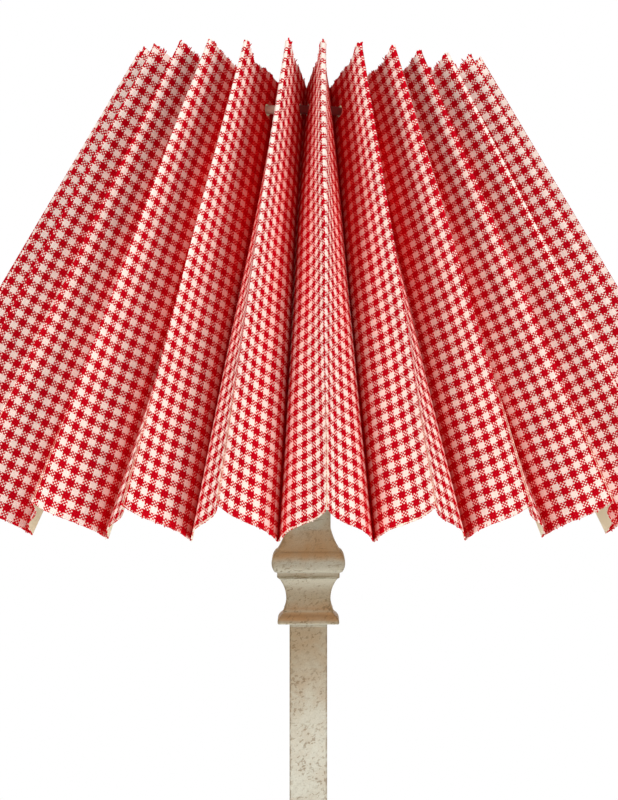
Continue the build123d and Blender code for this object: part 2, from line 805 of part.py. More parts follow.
# Band between the two cut edges of the cloth, square to the folds
band_reach = 3 * panel_width
band_inner = 6.0
with BuildPart() as cut_band:
    with BuildSketch(front_plane(0)):
        with BuildLine():
            Polyline(
                (valley_top_radius - band_inner * slope_cos, valley_top_height - band_inner * slope_sin),
                (valley_top_radius + band_reach * slope_cos, valley_top_height + band_reach * slope_sin),
                (valley_hem_radius + band_reach * slope_cos, valley_hem_height + band_reach * slope_sin),
                (valley_hem_radius - band_inner * slope_cos, valley_hem_height - band_inner * slope_sin),
                close=True,
            )
        make_face()
    revolve(axis=Axis.Z)

# Tunnel that the punched eyelets leave through all the folds
with BuildPart() as eyelet_tunnel:
    with BuildSketch(front_plane(eyelet_height)):
        with Locations((eyelet_radius, 0)):
            Circle(eyelet_diameter / 2)
    revolve(axis=Axis.Z)

pleats_per_strip = pleat_count // strip_count


def fold_points(start, ridge, valley):
    """Fold corners of one strip in a level plane, from its first valley to its last."""
    corners = []
    for step in range(2 * pleats_per_strip + 1):
        radius = valley if step % 2 == 0 else ridge
        angle = start + step * half_pitch
        corners.append(Vector(radius * cos(angle), radius * sin(angle)))
    return corners


def panel_edges(first, last, bow):
    """One panel as two half edges: bowed outward by the valley and inward by the ridge."""
    middle = (first + last) / 2
    along = (last - first).normalized()
    square = Vector(-along.Y, along.X)
    outward = square if square.dot(middle) > 0 else square * -1
    near_valley = 1 if first.length < last.length else -1
    for start, end, way in ((first, middle, near_valley), (middle, last, -near_valley)):
        ThreePointArc(start, (start + end) / 2 + outward * bow * way, end)


def strip_outline(height, start, bow):
    """Closed outline of one strip in a level plane: along the outer face and back along the inner one."""
    ridge_in, valley_in = inner_radii(height)
    outer = fold_points(start, ridge_radius_at(height), valley_radius_at(height))
    inner = fold_points(start, ridge_in, valley_in)
    for first, last in zip(outer, outer[1:]):
        panel_edges(first, last, bow)
    Line(outer[-1], inner[-1])
    inner.reverse()
    for first, last in zip(inner, inner[1:]):
        panel_edges(first, last, bow)
    Line(inner[-1], outer[0])


# Pleated strips, seamed in two valleys
first_valley = radians(front_ridge_turn - 90) - half_pitch
strip_turn = 2 * half_pitch * pleats_per_strip
for strip in range(strip_count):
    strip_start = first_valley + strip * strip_turn
    with BuildPart() as shade_strip:
        with BuildSketch(Plane.XY.offset(loft_foot)):
            with BuildLine():
                strip_outline(loft_foot, strip_start, panel_bow_hem)
            make_face()
        with BuildSketch(Plane.XY.offset(loft_top)):
            with BuildLine():
                strip_outline(loft_top, strip_start, panel_bow_top)
            make_face()
        loft(ruled=True)
        add(cut_band.part, mode=Mode.INTERSECT)
        add(eyelet_tunnel.part, mode=Mode.SUBTRACT)
    strip_name = "shade_strip_" + "ab"[strip]
    shade_strip.part.label = strip_name
    export_step(shade_strip.part, "parts/" + strip_name + ".step")

# Drawstring through the eyelets, its ends knotted inside the rearmost ridge
knot_half_turn = degrees(knot_length / 2 / eyelet_radius)
knot_start = front_ridge_turn + 90 - knot_half_turn
with BuildPart() as drawstring:
    with BuildLine():
        knot_path = CenterArc((0, 0, eyelet_height), eyelet_radius, knot_start, 2 * knot_half_turn)
    with BuildSketch(Plane(origin=knot_path @ 0, z_dir=knot_path % 0)):
        Circle(knot_diameter / 2)
    sweep(path=knot_path)
    fillet(drawstring.edges().filter_by(GeomType.CIRCLE), knot_length / 4)
    with BuildLine():
        cord_path = CenterArc((0, 0, eyelet_height), eyelet_radius, knot_start, 2 * knot_half_turn - 360)
    with BuildSketch(Plane(origin=cord_path @ 0, z_dir=cord_path % 0)):
        Circle(drawstring_diameter / 2)
    sweep(path=cord_path)
drawstring.part.label = "drawstring"
export_step(drawstring.part, "parts/drawstring.step")
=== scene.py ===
import json
import math
import random

import bmesh
import bpy
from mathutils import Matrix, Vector, noise


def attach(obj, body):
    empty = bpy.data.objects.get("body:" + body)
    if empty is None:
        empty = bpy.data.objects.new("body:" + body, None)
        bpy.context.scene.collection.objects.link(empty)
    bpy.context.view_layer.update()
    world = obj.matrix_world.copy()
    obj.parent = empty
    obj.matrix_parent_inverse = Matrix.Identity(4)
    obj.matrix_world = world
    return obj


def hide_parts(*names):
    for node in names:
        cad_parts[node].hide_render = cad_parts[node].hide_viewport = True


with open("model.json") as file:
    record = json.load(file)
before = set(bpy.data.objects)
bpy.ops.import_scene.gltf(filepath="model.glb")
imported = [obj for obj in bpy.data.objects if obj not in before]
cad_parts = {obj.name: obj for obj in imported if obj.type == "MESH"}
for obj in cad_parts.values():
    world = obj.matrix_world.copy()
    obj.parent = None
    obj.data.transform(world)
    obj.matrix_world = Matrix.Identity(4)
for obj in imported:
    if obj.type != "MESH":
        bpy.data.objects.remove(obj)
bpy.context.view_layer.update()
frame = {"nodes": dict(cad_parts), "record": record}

scene = bpy.context.scene
scene.view_settings.view_transform = "Standard"
nodes = frame["nodes"]
MM = 0.001
WHITE = (1.0, 1.0, 1.0, 1.0)


# Node trees


class Nodes:
    """A node tree with short ways to add its nodes. A node takes constants or other nodes' outputs."""

    def __init__(self, tree):
        self.tree = tree

    def feed(self, socket, value):
        """Links an output to a socket, or sets the socket to a constant."""
        if isinstance(value, bpy.types.NodeSocket):
            self.tree.links.new(value, socket)
        else:
            socket.default_value = value

    def add(self, kind, inputs=None, **settings):
        """A new node with its settings and what goes into its sockets."""
        node = self.tree.nodes.new("ShaderNode" + kind)
        for name, value in settings.items():
            setattr(node, name, value)
        for socket, value in (inputs or {}).items():
            self.feed(node.inputs[socket], value)
        return node

    def math(self, operation, *values):
        """One step of arithmetic."""
        return self.add("Math", dict(enumerate(values)), operation=operation).outputs[0]

    def times(self, first, second):
        """The product of two values."""
        return self.math("MULTIPLY", first, second)

    def most(self, first, second):
        """The greater of two values."""
        return self.math("MAXIMUM", first, second)

    def clamped(self, value):
        """A value kept between nought and one."""
        return self.math("MINIMUM", self.most(value, 0.0), 1.0)

    def pick(self, switch, first, second):
        """The first value, or the second where the switch is one."""
        return self.math("MULTIPLY_ADD", switch, self.math("SUBTRACT", second, first), first)

    def ramp(self, value, low, high, to_low=0.0, to_high=1.0):
        """A smooth step from one level to another while a value goes from low to high."""
        inputs = {"Value": value, "From Min": low, "From Max": high, "To Min": to_low, "To Max": to_high}
        return self.add("MapRange", inputs, interpolation_type="SMOOTHSTEP").outputs["Result"]

    def stripe(self, value, rise, fall):
        """One between two ranges of a value, stepping up over the first and down over the second."""
        return self.times(self.ramp(value, *rise), self.ramp(value, *fall, 1.0, 0.0))

    def mix(self, share, first, second):
        """One colour going over into another."""
        return self.add("Mix", {0: share, 6: first, 7: second}, data_type="RGBA").outputs[2]

    def blend(self, share, first, second):
        """One shader going over into another."""
        return self.add("MixShader", {"Fac": share, 1: first, 2: second}).outputs[0]

    def dim(self, colour, level):
        """A colour made darker or lighter."""
        return self.add("VectorMath", {0: colour, "Scale": level}, operation="SCALE").outputs[0]

    def place(self, stretch=(1, 1, 1), turn=(0, 0, 0)):
        """Object coordinates, drawn out along the turned axes."""
        inputs = {"Vector": self.add("TexCoord").outputs["Object"], "Scale": stretch, "Rotation": turn}
        return self.add("Mapping", inputs, vector_type="TEXTURE").outputs["Vector"]

    def axes(self, vector):
        """The three parts of a vector."""
        return tuple(self.add("SeparateXYZ", {0: vector}).outputs)

    def flat_map(self, name):
        """Place across and along on one of the cloth's flat maps."""
        return self.axes(self.add("UVMap", uv_map=name).outputs["UV"])[:2]

    def tone(self, number):
        """A random level for each whole number."""
        return self.add("TexWhiteNoise", {"W": number}, noise_dimensions="1D").outputs["Value"]

    def cloud(self, vector, scale, detail, rough, warp=0.0):
        """Soft noise of a given scale."""
        inputs = {"Vector": vector, "Scale": scale, "Detail": detail, "Roughness": rough, "Distortion": warp}
        return self.add("TexNoise", inputs).outputs["Fac"]


class Finish(Nodes):
    """A material with its main shader."""

    sockets = {"colour": "Base Color", "rough": "Roughness", "metal": "Metallic", "sheen": "Sheen Weight",
               "gloss": "Specular IOR Level", "clear": "Transmission Weight", "ior": "IOR"}

    def __init__(self, name):
        self.material = bpy.data.materials.new(name)
        self.material.use_nodes = True
        super().__init__(self.material.node_tree)
        self.shader = self.tree.nodes["Principled BSDF"]

    def bump(self, height, strength, distance):
        """Makes the surface look raised where the height is greater."""
        node = self.add("Bump", {"Height": height, "Strength": strength, "Distance": distance})
        self.feed(self.shader.inputs["Normal"], node.outputs["Normal"])

    def put(self, **values):
        """Sets the shader and gives back the material."""
        for name, value in values.items():
            self.feed(self.shader.inputs[self.sockets[name]], value)
        return self.material


# Camera, light and floor

# Each soft panel: its place, its width and height, and its watts
LIGHTS = {
    "left_panel": ((-1.5, -1.7, 0.82), 1.0, 1.5, 31.5),
    "right_panel": ((1.5, -1.7, 0.82), 1.0, 1.5, 36.0),
    "back_left_panel": ((-0.6, 2.1, 1.0), 1.0, 1.1, 14.0),
    "back_right_panel": ((0.6, 2.1, 1.0), 1.0, 1.1, 14.0),
}
LIGHT_AIM = (0.0, 0.0, 0.42)
SURROUND = 0.38
FLOOR_RADIUS = 1.3
FLOOR_FADE = (0.35, 1.25)


def stand_at(name, data, place, aim):
    """Stands a camera or a light at a place and turns it to a point."""
    thing = bpy.data.objects.new(name, data)
    scene.collection.objects.link(thing)
    thing.location = place
    thing.rotation_euler = (Vector(aim) - Vector(place)).to_track_quat("-Z", "Y").to_euler()
    return thing


def set_camera():
    """Long lens in front of the shade, a little above the hem and tipped slightly down."""
    lens = bpy.data.cameras.new("portrait_lens")
    lens.sensor_fit = "VERTICAL"
    lens.sensor_height = 36.0
    lens.lens = 144.0
    lens.clip_end = 30.0
    scene.camera = stand_at("portrait_camera", lens, (0.0003, -1.536, 0.4583), (0.0003, 0.0, 0.4247))


def set_lights():
    """Soft studio panels all round."""
    for name, (place, width, height, power) in LIGHTS.items():
        panel = bpy.data.lights.new(name, "AREA")
        panel.shape = "RECTANGLE"
        panel.size = width
        panel.size_y = height
        panel.energy = power
        stand_at(name, panel, place, LIGHT_AIM)


def set_surround():
    """A pale surround, dim as a light and white where it is seen."""
    world = bpy.data.worlds.new("pale_surround")
    scene.world = world
    world.use_nodes = True
    world.node_tree.nodes.clear()
    air = Nodes(world.node_tree)
    ray = air.add("LightPath").outputs
    seen = air.most(ray["Is Camera Ray"], ray["Is Glossy Ray"])
    seen = air.most(seen, ray["Is Transmission Ray"])
    lit = air.add("Background", {"Color": (1.0, 0.985, 0.96, 1.0), "Strength": SURROUND}).outputs[0]
    white = air.add("Background", {"Color": WHITE, "Strength": 1.0}).outputs[0]
    air.add("OutputWorld", {"Surface": air.blend(seen, lit, white)})


def lay_floor():
    """A round floor that fades into white towards its rim."""
    bpy.ops.object.select_all(action="DESELECT")
    bpy.ops.mesh.primitive_circle_add(vertices=96, radius=FLOOR_RADIUS, fill_type="NGON", location=(0, 0, 0))
    floor = bpy.context.active_object
    floor.name = "studio_floor"
    pale = bpy.data.materials.new("pale_floor")
    pale.use_nodes = True
    pale.node_tree.nodes.clear()
    skin = Nodes(pale.node_tree)
    reach = skin.add("VectorMath", {0: skin.add("TexCoord").outputs["Object"]}, operation="LENGTH")
    fade = skin.ramp(reach.outputs["Value"], *FLOOR_FADE)
    seen = skin.times(skin.add("LightPath").outputs["Is Camera Ray"], fade)
    matte = skin.add("BsdfDiffuse", {"Color": (0.86, 0.86, 0.85, 1.0)}).outputs[0]
    glow = skin.add("Emission", {"Color": WHITE}).outputs[0]
    skin.add("OutputMaterial", {"Surface": skin.blend(seen, matte, glow)})
    floor.data.materials.append(pale)


set_camera()
set_lights()
set_surround()
lay_floor()


# Sizes of the cloth, in millimetres, with the count of its pleats and of the yarns in a repeat of the check

PLEATS = 28
WIDTH = 38.0
FOLD = 239.5
CLOTH = 0.5
CHECK = 6.35
YARNS = 8

# Width of a yarn and of a panel in metres
YARN = CHECK * MM / YARNS
PANEL = WIDTH * MM


# Finishes


def paint(red, green, blue):
    """A colour given as it looks on a screen, from 0 to 255, as a shader's linear colour."""
    channels = []
    for value in (red, green, blue):
        value /= 255.0
        channels.append(value / 12.92 if value <= 0.04045 else ((value + 0.055) / 1.055) ** 2.4)
    return (*channels, 1.0)


CREAM_YARN = paint(255, 237, 226)
RED_YARN = paint(210, 9, 29)
# Painted light: the yarns as red light bounced between the folds makes them look deep in a fold, and the cream
# where it crosses red there
PAINTED_FOLD_CREAM = paint(255, 118, 110)
PAINTED_FOLD_RED = paint(244, 1, 20)
PAINTED_FOLD_DOT = paint(255, 60, 56)
# Keeps the random levels of the weft apart from those of the warp
WEFT_TONES = 3000.0
# How far the lining shows along the hem at most, in metres
LINING_LIP = 0.0011


def proud_lining(finish, width, most):
    """How far the lining stands proud, the same all along a panel and nothing on most panels."""
    panel = finish.math("FLOOR", finish.times(width, 1.0 / PANEL))
    wave = finish.math("SINE", finish.math("MULTIPLY_ADD", panel, 2.9, 1.6))
    return finish.ramp(wave, 0.7, 1.0, 0.0, most)


def gingham_cloth():
    """Plain weave of red and cream yarn, four to a stripe both ways.

    Deep in the folds, painted light for the red light bounced between the folds reddens its cream and makes its
    red richer, and painted shade darkens the closed valleys. The lining shows along some of the hem.
    """
    cloth = Finish("gingham_cloth")

    # Which yarn lies on top, and whether it is red
    across, along = (cloth.times(way, 1.0 / YARN) for way in cloth.flat_map("weave"))
    warp, weft = (cloth.math("FLOOR", way) for way in (across, along))
    warp_red, weft_red = (cloth.math("LESS_THAN", cloth.math("MODULO", yarn, YARNS), YARNS / 2 - 0.5)
                          for yarn in (warp, weft))
    over = cloth.math("MODULO", cloth.math("ADD", warp, weft), 2.0)
    red = cloth.pick(over, warp_red, weft_red)

    # Painted shade in the gaps between the round yarns, and each yarn with its own tone
    crown_across, crown_along = (cloth.math("SINE", cloth.times(cloth.math("FRACT", way), math.pi))
                                 for way in (across, along))
    crown = cloth.times(crown_across, crown_along)
    gap_shade = cloth.math("MULTIPLY_ADD", red, -0.48, 0.9)
    tone = cloth.pick(over, cloth.tone(warp), cloth.tone(cloth.math("ADD", weft, WEFT_TONES)))
    slub = cloth.cloud(cloth.place(), 55.0, 4.0, 0.6)
    level = cloth.ramp(crown, 0.0, 0.55, gap_shade, 1.0)
    level = cloth.times(level, cloth.ramp(tone, 0.0, 1.0, 0.93, 1.05))
    level = cloth.times(level, cloth.ramp(slub, 0.3, 0.7, 0.95, 1.03))

    # Painted light and shade deep in a fold, for the red light bounced between the folds and the shade of the
    # closed valleys: wide near the top edge, and lower down only close to the valley
    width, length = cloth.flat_map("cloth")
    from_valley = cloth.math("PINGPONG", cloth.times(width, 1.0 / PANEL), 1.0)
    high = cloth.ramp(length, 0.03, 0.2, 1.0, 0.1)
    painted_fold_light = cloth.times(cloth.ramp(from_valley, 0.0, 0.9, 1.0, 0.0), high)
    painted_fold_light = cloth.most(painted_fold_light, cloth.ramp(from_valley, 0.0, 0.5, 0.5, 0.0))
    painted_valley_shade = cloth.times(cloth.ramp(from_valley, 0.04, 0.2, 1.0, 0.0), cloth.math("SUBTRACT", 1.0, high))
    painted_fold_light = cloth.most(painted_fold_light, painted_valley_shade)
    # Painted shade: darker in the closed valleys
    level = cloth.times(level, cloth.math("MULTIPLY_ADD", painted_valley_shade, -0.2, 1.0))

    # Colours, with a red rim round the cream dots where a cream yarn crosses a red one
    # Painted light: cream and red reddened where red light bounces between the folds
    pale = cloth.mix(painted_fold_light, CREAM_YARN, PAINTED_FOLD_CREAM)
    red_in_fold_light = cloth.mix(painted_fold_light, RED_YARN, PAINTED_FOLD_RED)
    mixed = cloth.math("ABSOLUTE", cloth.math("SUBTRACT", warp_red, weft_red))
    rim = cloth.times(mixed, cloth.ramp(crown, 0.1, 0.4, 0.95, 0.0))
    dot = cloth.mix(cloth.times(painted_fold_light, mixed), pale, PAINTED_FOLD_DOT)
    dot = cloth.mix(rim, dot, red_in_fold_light)
    colour = cloth.dim(cloth.mix(red, dot, red_in_fold_light), level)

    # Lining along the hem
    torn = cloth.ramp(cloth.cloud(cloth.place(), 160.0, 3.0, 0.6), 0.35, 0.65, 0.6, 1.2)
    reveal = cloth.times(proud_lining(cloth, width, LINING_LIP), torn)
    lip = cloth.math("GREATER_THAN", length, cloth.math("SUBTRACT", FOLD * MM, reveal))
    colour = cloth.mix(lip, colour, paint(248, 236, 216))
    cloth.bump(crown, 0.4, 0.0002)
    return cloth.put(colour=colour, rough=0.95, gloss=0.0)


def yarn_finish(name, colour):
    """Loose yarn end with its fibres."""
    yarn = Finish(name)
    fibre = yarn.cloud(yarn.place(), 1800.0, 2.0, 0.6)
    level = yarn.ramp(fibre, 0.3, 0.7, 0.82, 1.04)
    return yarn.put(colour=yarn.dim(colour[:3], level), rough=0.95, gloss=0.0)


def lining_paper():
    """Cream laminate on the inside of the cloth, softly blotched."""
    lining = Finish("lining_paper")
    fibre = lining.cloud(lining.place(), 900.0, 3.0, 0.6)
    blotch = lining.cloud(lining.place(), 26.0, 3.0, 0.5)
    colour = lining.mix(lining.ramp(blotch, 0.35, 0.7), paint(255, 240, 216), paint(246, 226, 194))
    lining.bump(fibre, 0.12, 0.0002)
    return lining.put(colour=colour, rough=0.62, gloss=0.3)


def cut_edge():
    """Cut edge of the laminate: red and pink fibre, cream where the lining stands proud."""
    edge = Finish("cut_edge")
    width, _ = edge.flat_map("cloth")
    fluff = edge.cloud(edge.place(), 420.0, 3.0, 0.7)
    fibre = edge.mix(edge.ramp(fluff, 0.5, 0.62), paint(196, 34, 46), paint(238, 205, 192))
    colour = edge.mix(proud_lining(edge, width, 1.0), fibre, paint(246, 234, 214))
    return edge.put(colour=colour, rough=0.95, gloss=0.0)


# Heights on the stand over which its finish changes, in metres
PAINTED_SHADOW_RISE = (0.255, 0.31)
CRACKLE_RISE = (0.28, 0.33)
GLAZE_RISE = (0.06, 0.3)
BEAD = ((0.316, 0.3168), (0.3181, 0.3183))
BAND = ((0.3395, 0.3402), (0.341, 0.3418))
PAINTED_LIGHT_RISE = (0.338, 0.352)
WEAR_FALL = (0.342, 0.35)
# Width of the wear along the corners of the square pieces, in metres, and the slant of the scratches
ARRIS = 0.0013
SLANT = (-0.78, 0.9, 0.0)


def whitewashed_wood():
    """Off-white paint over brown wood, rubbed back in slanting scratches, crackle and along the corners.

    A brown glazing lies on the upward faces. Painted shadow of the shade darkens the paint up the stem, painted
    light lightens the top of the capital again, and painted light from below lightens the downward faces.
    """
    wood = Finish("whitewashed_wood")
    spot = wood.place()
    x, y, z = wood.axes(spot)
    slanting = wood.place((1.0, 1.0, 6.0), SLANT)
    scratch = wood.cloud(slanting, 780.0, 2.0, 0.5, 0.4)
    deep = wood.cloud(slanting, 610.0, 2.0, 0.5, 0.5)
    crack = wood.cloud(wood.place((7.0, 7.0, 1.0), (0.12, -0.14, 0.0)), 950.0, 3.0, 0.6, 1.4)
    speck = wood.cloud(spot, 2400.0, 2.0, 0.6)
    blotch = wood.cloud(spot, 70.0, 4.0, 0.6, 0.5)
    drift = wood.cloud(spot, 26.0, 3.0, 0.5)
    up = wood.axes(wood.add("NewGeometry").outputs["Normal"])[2]
    sideways, forward = wood.math("ABSOLUTE", x), wood.math("ABSOLUTE", y)
    off_corner = wood.math("ABSOLUTE", wood.math("SUBTRACT", sideways, forward))
    arris = wood.ramp(off_corner, 0.0, ARRIS, 1.0, 0.0)

    # Paint with painted shadow of the shade, darker up the stem, and painted light that takes some of it off at
    # the top of the capital, with random tone and a pale bead
    painted_shadow_and_tone = wood.times(wood.ramp(z, *PAINTED_SHADOW_RISE, 0.08, 0.8), wood.ramp(z, *PAINTED_LIGHT_RISE, 1.0, 0.4))
    painted_shadow_and_tone = wood.math("ADD", painted_shadow_and_tone, wood.ramp(blotch, 0.3, 0.72, -0.1, 0.1))
    painted_shadow_and_tone = wood.math("ADD", painted_shadow_and_tone, wood.ramp(drift, 0.35, 0.65, -0.08, 0.08))
    coat = wood.mix(wood.clamped(painted_shadow_and_tone), paint(188, 185, 171), paint(148, 130, 102))
    coat = wood.mix(wood.stripe(z, *BEAD), coat, paint(190, 184, 166))

    # Glaze on the upward faces, lighter at the top of the capital as painted light; painted light from below on
    # the downward faces under the overhangs; and a dark band round the capital
    shelf = wood.math("ADD", wood.ramp(up, -0.05, 0.6), wood.ramp(blotch, 0.3, 0.7, -0.2, 0.1))
    shelf = wood.times(wood.clamped(shelf), wood.ramp(z, *GLAZE_RISE, 0.5, 1.0))
    # Painted light: the glazing is lighter at the top of the capital
    glaze_and_top_light = wood.mix(wood.ramp(z, *PAINTED_LIGHT_RISE), paint(160, 124, 88), paint(180, 144, 106))
    coat = wood.mix(shelf, coat, glaze_and_top_light)
    # Painted light from below: downward faces paler
    coat = wood.mix(wood.ramp(up, -0.75, -0.12, 0.85, 0.0), coat, paint(208, 203, 184))
    band = wood.times(wood.stripe(z, *BAND), wood.ramp(crack, 0.35, 0.6, 0.3, 0.9))
    coat = wood.mix(band, coat, paint(128, 116, 90))
    coat = wood.dim(coat, wood.ramp(speck, 0.3, 0.7, 0.92, 1.06))

    # Bare wood where the paint is rubbed off
    bare = wood.mix(wood.ramp(speck, 0.3, 0.7), paint(124, 100, 68), paint(90, 71, 46))
    field = wood.ramp(blotch, 0.36, 0.6, 0.15, 1.0)
    rubbed = wood.times(wood.ramp(scratch, 0.56, 0.66, 0.0, 0.6), field)
    rubbed = wood.most(rubbed, wood.times(wood.ramp(deep, 0.62, 0.69, 0.0, 0.62), field))
    crackle = wood.times(wood.ramp(crack, 0.615, 0.68, 0.0, 0.8), wood.ramp(z, *CRACKLE_RISE, 0.2, 1.0))
    rubbed = wood.most(rubbed, crackle)
    rubbed = wood.most(rubbed, wood.times(arris, wood.ramp(deep, 0.4, 0.58, 0.1, 0.6)))
    rubbed = wood.times(rubbed, wood.ramp(z, *WEAR_FALL, 1.0, 0.6))
    colour = wood.mix(rubbed, coat, bare)

    height = wood.math("SUBTRACT", wood.times(speck, 0.3), wood.times(rubbed, 0.7))
    height = wood.math("ADD", height, wood.times(blotch, 0.8))
    wood.bump(height, 0.5, 0.0005)
    return wood.put(colour=colour, rough=wood.ramp(rubbed, 0.0, 1.0, 0.68, 0.85), gloss=0.25)


# Where painted red shade falls on the cord in the closed front valleys, in metres: middle, reach to the sides
# and reach in depth
CLOSED_MIDDLE = 0.006
CLOSED_REACH = (0.012, 0.02)
CLOSED_DEPTH = (-0.03, 0.0)


def twisted_cotton():
    """Pale cotton cord, with painted red shade where it lies in the closed front valleys."""
    cotton = Finish("twisted_cotton")
    spot = cotton.place()
    fibre = cotton.cloud(spot, 1500.0, 3.0, 0.7)
    colour = cotton.mix(cotton.ramp(fibre, 0.3, 0.7), paint(192, 164, 144), paint(212, 188, 168))
    across, depth, _ = cotton.axes(spot)
    off_middle = cotton.math("ABSOLUTE", cotton.math("SUBTRACT", across, CLOSED_MIDDLE))
    closed = cotton.ramp(off_middle, *CLOSED_REACH, 1.0, 0.0)
    closed = cotton.times(closed, cotton.ramp(depth, *CLOSED_DEPTH, 1.0, 0.0))
    # Painted shade: dark red where the cord lies in the closed front valleys
    colour = cotton.mix(closed, colour, paint(124, 44, 42))
    cotton.bump(fibre, 0.4, 0.0002)
    return cotton.put(colour=colour, rough=0.9, gloss=0.2, sheen=0.1)


def dark_felt():
    """Green-grey felt under the base."""
    felt = Finish("dark_felt")
    fibre = felt.cloud(felt.place(), 1100.0, 4.0, 0.75, 0.8)
    colour = felt.mix(felt.ramp(fibre, 0.3, 0.7), paint(52, 58, 50), paint(84, 90, 78))
    felt.bump(fibre, 0.6, 0.0005)
    return felt.put(colour=colour, rough=0.97, gloss=0.1, sheen=0.2)


def metal_finish(name, light, dark, rough_low, rough_high, scale):
    """Metal with a fine brushed cloud in its colour and gloss."""
    metal = Finish(name)
    cloud = metal.cloud(metal.place((1.0, 1.0, 0.2)), scale, 4.0, 0.6)
    colour = metal.mix(metal.ramp(cloud, 0.35, 0.7), paint(*light), paint(*dark))
    metal.bump(cloud, 0.06, 0.0002)
    return metal.put(colour=colour, metal=1.0, rough=metal.ramp(cloud, 0.3, 0.7, rough_low, rough_high))


def lacquer_finish(name, light, dark, rough_low, rough_high, scale):
    """Paint, plastic or ceramic with a faint mottle and an orange-peel skin."""
    lacquer = Finish(name)
    mottle = lacquer.cloud(lacquer.place(), scale, 3.0, 0.55)
    colour = lacquer.mix(lacquer.ramp(mottle, 0.35, 0.68), paint(*light), paint(*dark))
    lacquer.bump(lacquer.cloud(lacquer.place(), 2200.0, 2.0, 0.5), 0.05, 0.0002)
    return lacquer.put(colour=colour, rough=lacquer.ramp(mottle, 0.3, 0.7, rough_low, rough_high))


def cast_finish():
    """Dark cast iron with a sandy skin."""
    cast = Finish("cast_iron_skin")
    sand = cast.cloud(cast.place(), 800.0, 5.0, 0.7)
    colour = cast.mix(cast.ramp(sand, 0.3, 0.7), paint(46, 45, 44), paint(78, 74, 70))
    cast.bump(sand, 0.5, 0.0006)
    return cast.put(colour=colour, metal=0.6, rough=0.7)


def clear_glass():
    """Clear bulb glass with a trace of smoke."""
    glass = Finish("clear_glass")
    smoke = glass.cloud(glass.place(), 30.0, 2.0, 0.5)
    colour = glass.mix(glass.ramp(smoke, 0.3, 0.7), paint(255, 253, 250), paint(244, 242, 236))
    return glass.put(colour=colour, rough=0.02, clear=1.0, ior=1.47)


gingham = gingham_cloth()
lining = lining_paper()
raw_edge = cut_edge()
red_end = yarn_finish("red_yarn_end", RED_YARN)
cream_end = yarn_finish("cream_yarn_end", CREAM_YARN)
cotton_finish = twisted_cotton()

finish_of_slot = {
    "gingham": gingham,
    "cotton_cord": cotton_finish,
    "whitewashed_wood": whitewashed_wood(),
    "felt": dark_felt(),
    "cast_weight": cast_finish(),
    "zinc_steel": metal_finish("zinc_plate", (196, 196, 194), (160, 160, 158), 0.28, 0.42, 300.0),
    "brass": metal_finish("satin_brass", (214, 178, 104), (176, 136, 70), 0.26, 0.4, 240.0),
    "bulb_metal": metal_finish("bulb_nickel", (210, 208, 202), (176, 173, 166), 0.2, 0.34, 260.0),
    "bulb_wire": metal_finish("drawn_wire", (120, 118, 116), (84, 82, 80), 0.35, 0.5, 600.0),
    "bulb_clear_glass": clear_glass(),
    "bulb_insulation": lacquer_finish("black_vitrite", (24, 24, 26), (12, 12, 13), 0.12, 0.22, 200.0),
    "holder_plastic": lacquer_finish("holder_moulding", (228, 221, 204), (216, 208, 188), 0.36, 0.48, 120.0),
    "holder_ceramic": lacquer_finish("holder_porcelain", (226, 222, 212), (206, 200, 188), 0.5, 0.66, 200.0),
    "carrier_paint": lacquer_finish("white_wire_lacquer", (236, 233, 224), (214, 209, 196), 0.3, 0.46, 160.0),
}
for entry in frame["record"]["subparts"]:
    held = nodes[entry["node"]]
    held.data.materials.clear()
    held.data.materials.append(finish_of_slot[entry["material_slot"]])


# Making pieces


def new_mesh(name, points, faces, *finishes):
    """A mesh from points and faces, with its finishes."""
    mesh = bpy.data.meshes.new(name)
    mesh.from_pydata(points, [], faces)
    for finish in finishes:
        mesh.materials.append(finish)
    return mesh


def add_piece(name, mesh):
    """Puts a mesh into the scene as the one piece that is selected and active."""
    piece = bpy.data.objects.new(name, mesh)
    scene.collection.objects.link(piece)
    bpy.ops.object.select_all(action="DESELECT")
    piece.select_set(True)
    bpy.context.view_layer.objects.active = piece
    return piece


def face_outward():
    """Turns all faces of the active piece outward."""
    bpy.ops.object.mode_set(mode="EDIT")
    bpy.ops.mesh.select_all(action="SELECT")
    bpy.ops.mesh.normals_make_consistent(inside=False)
    bpy.ops.object.mode_set(mode="OBJECT")


def ring_points(middle, side, up, radii):
    """A ring of points round a middle, in metres, one for each radius in millimetres."""
    points = []
    for spoke, radius in enumerate(radii):
        angle = 2 * math.pi * spoke / len(radii)
        points.append((middle + (side * math.cos(angle) + up * math.sin(angle)) * radius) * MM)
    return points


def ring_faces(low, high, spokes):
    """Faces between two rings of points, given by the first point of each."""
    faces = []
    for spoke in range(spokes):
        turn = (spoke + 1) % spokes
        faces.append((low + spoke, low + turn, high + turn, high + spoke))
    return faces


def stands_for(piece, body, slot, *replaced):
    """Rides a piece on its body and hides the nodes that it stands for; the finish slot that it is given is not
    used.
    """
    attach(piece, body)
    if replaced:
        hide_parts(*replaced)
    return piece


# Pleated cloth, in millimetres and degrees

# The folds as radius and height at their two ends, and the angle of the front ridge
HALF_PITCH = 180.0 / PLEATS
VALLEY_TOP = (52.3, 572.14)
VALLEY_HEM = (177.6, 368.03)
RIDGE_TOP = (84.06, 591.64)
RIDGE_HEM = (204.38, 384.47)
FRONT_RIDGE = 2.2

# Punched holes: distance from the valley and from the cut edge, radius, and their size in steps of the grid
EYE_ACROSS = 8.0
EYE_DOWN = 18.0
EYE_RADIUS = 2.9
EYE_STEPS = 2

